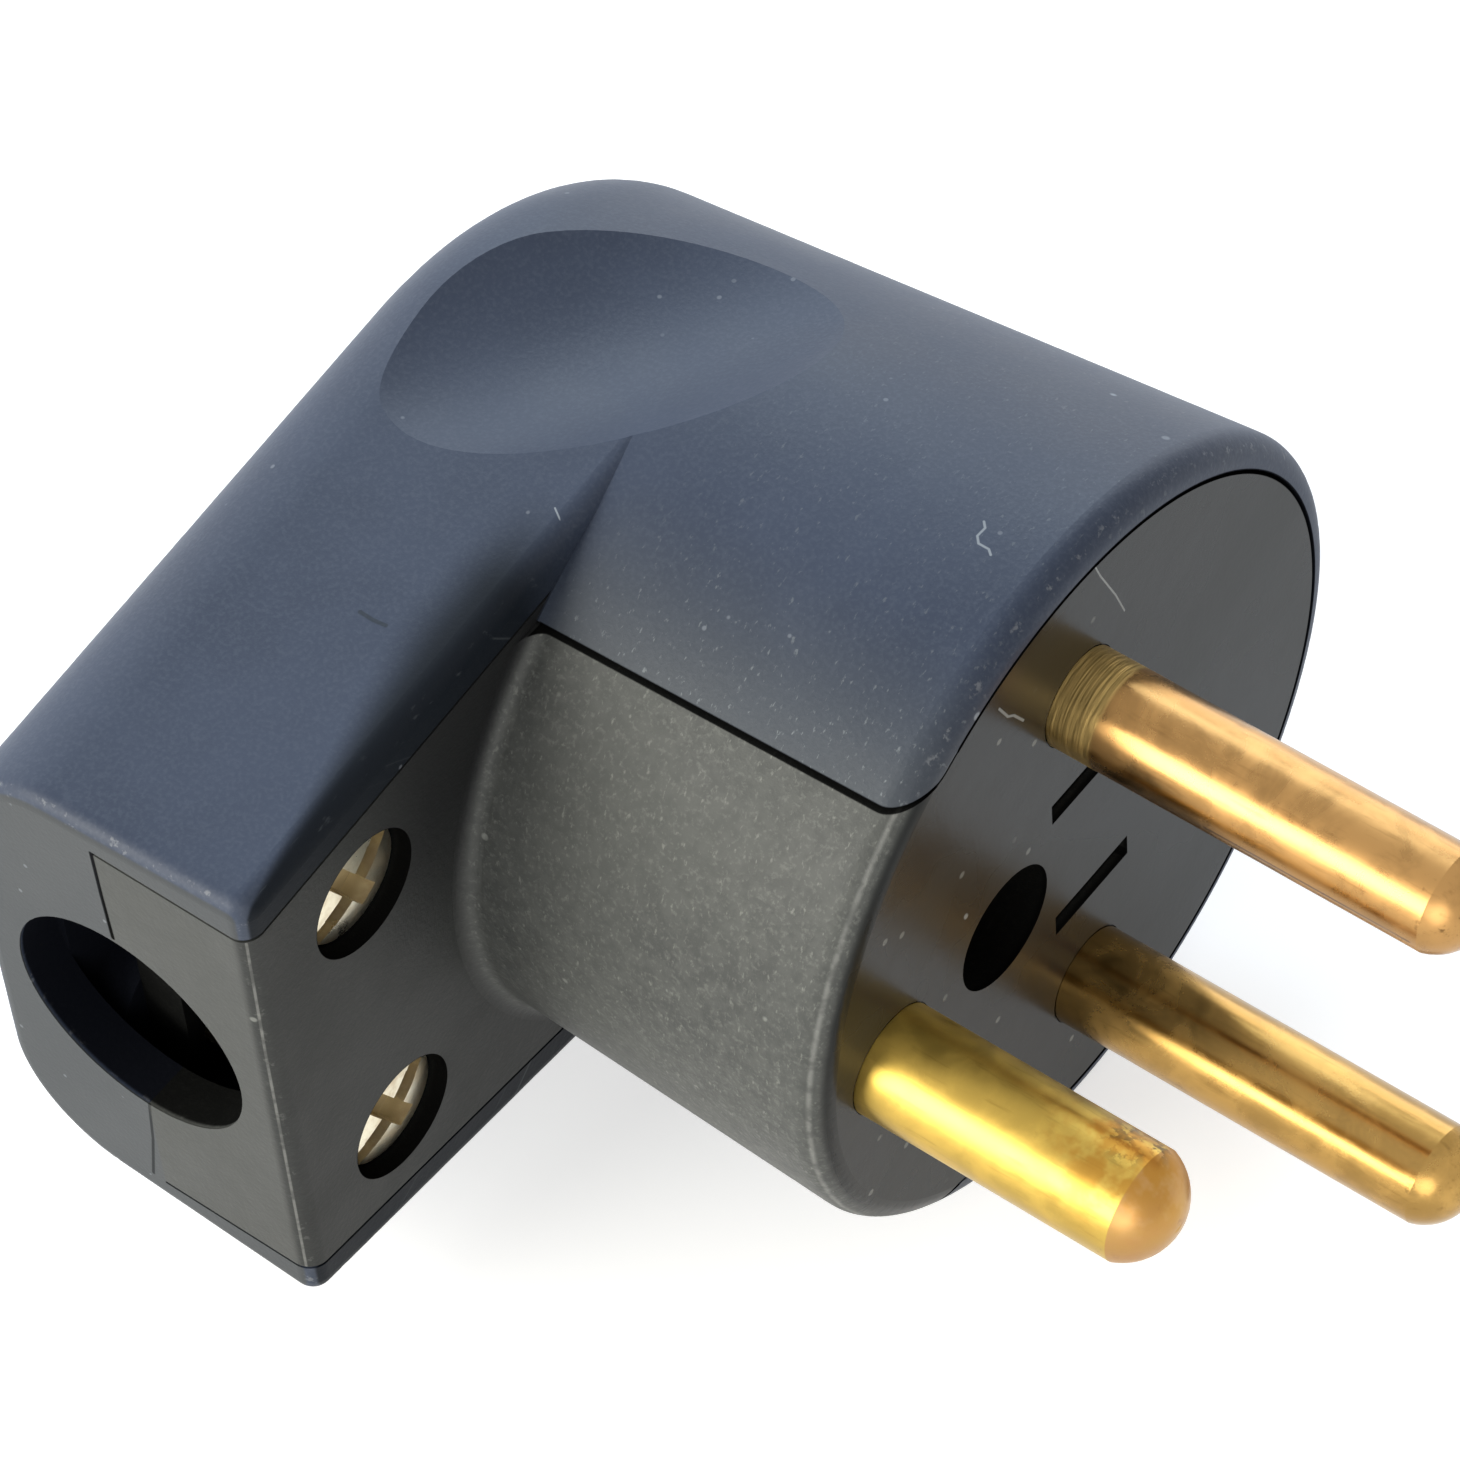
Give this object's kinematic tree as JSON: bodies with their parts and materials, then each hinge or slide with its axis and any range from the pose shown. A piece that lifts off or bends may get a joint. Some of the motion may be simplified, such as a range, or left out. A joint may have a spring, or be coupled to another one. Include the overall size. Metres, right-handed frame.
{
  "type": "angled_plug",
  "caption": "Rewirable angled plug with round brass pins on its face and a side cord inlet on a square-ended arm, in dark matte plastic",
  "frame": {"origin": "centre of the pin face, on the barrel's axis and in the plug's mirror plane", "axes": "+X the way the pins point, -Y the way the arm and its cord inlet point, +Z from the mirror plane towards the side that is up in the picture"},
  "size_m": [0.0527, 0.0467, 0.0356],
  "materials": {
    "cover_plastic": "matte, finely grained",
    "base_plastic": "satin",
    "pin_brass": "polished, a little tarnished",
    "screw_metal": "worn plating",
    "terminal_brass": "as turned",
    "washer_steel": "plain"
  },
  "bodies": {
    "root": {"rear_cover": "cover_plastic", "pin_base": "base_plastic", "power_pin_upper": "pin_brass", "power_pin_lower": "pin_brass", "earth_pin": "pin_brass", "arm_screw_upper": "screw_metal", "arm_screw_lower": "screw_metal", "centre_screw": "screw_metal", "arm_insert_upper": "terminal_brass", "arm_insert_lower": "terminal_brass", "centre_insert": "terminal_brass", "cord_clamp_bar": "base_plastic", "upper_terminal": "terminal_brass", "lower_terminal": "terminal_brass", "earth_terminal": "terminal_brass", "upper_lock_washer": "washer_steel", "lower_lock_washer": "washer_steel", "earth_lock_washer": "washer_steel", "upper_wire_screw": "screw_metal", "lower_wire_screw": "screw_metal", "earth_wire_screw": "screw_metal"}
  },
  "joints": []
}
